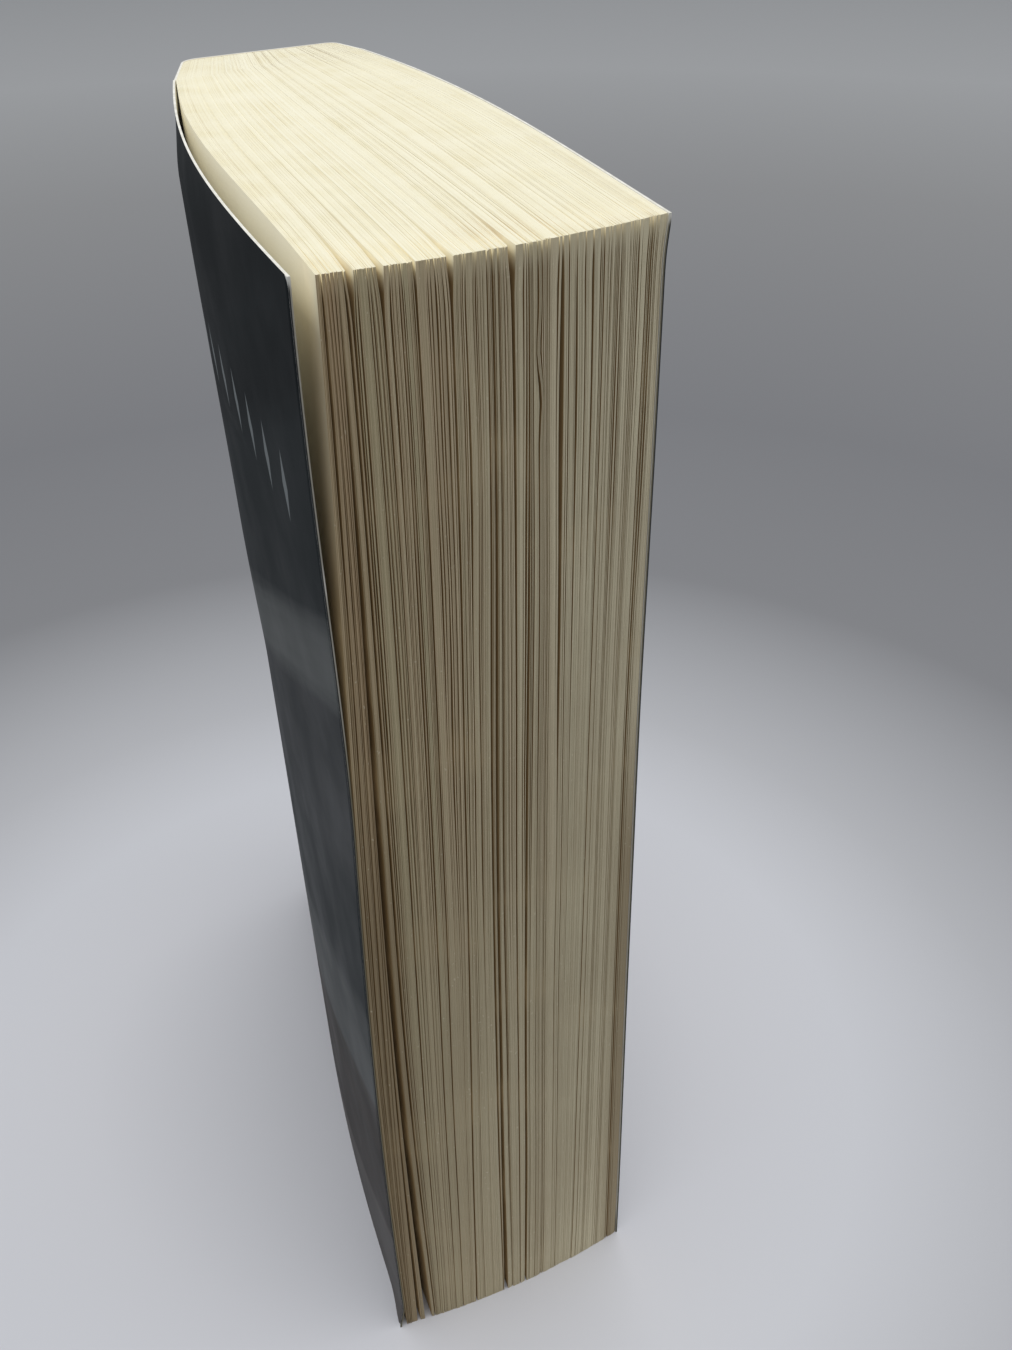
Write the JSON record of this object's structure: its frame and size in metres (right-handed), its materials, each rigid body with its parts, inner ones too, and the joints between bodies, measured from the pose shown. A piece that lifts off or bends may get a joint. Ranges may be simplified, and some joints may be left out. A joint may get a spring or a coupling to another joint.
{
  "type": "paperback book",
  "caption": "Thick closed paperback standing on its tail, with fanned leaves, a rolled spine and a sprung front cover; both covers hinge.",
  "frame": {"origin": "on the tail plane, under the middle of the leaves' width and of the fore edge's thickness", "axes": "+Z from tail to head, +Y from the fore edge to the spine, +X from the front cover to the back cover"},
  "size_m": [0.0517, 0.1125, 0.175],
  "materials": {
    "leaves": "matt, uncoated, toned cream",
    "binding_glue": "dull hot-melt",
    "cover_card": "printed dark slate, semi-gloss laminate outside, bare off-white card inside"
  },
  "bodies": {
    "book": {"text_block": "leaves", "spine_glue": "binding_glue", "spine_cover": "cover_card"},
    "front": {"front_cover": "cover_card"},
    "back": {"back_cover": "cover_card"}
  },
  "joints": [
    {"name": "front_cover_hinge", "type": "hinge", "parent": "book", "child": "front", "pos_m": [-0.00463, 0.03793, 0], "axis": [0.0293, 0.0006, -0.9996], "range_deg": [0, 165], "stiffness_Nm_per_rad": 0.002},
    {"name": "back_cover_hinge", "type": "hinge", "parent": "book", "child": "back", "pos_m": [0.02857, 0.04754, 0], "axis": [-0.03, 0.0065, 0.9995], "range_deg": [0, 165], "stiffness_Nm_per_rad": 0.002}
  ]
}
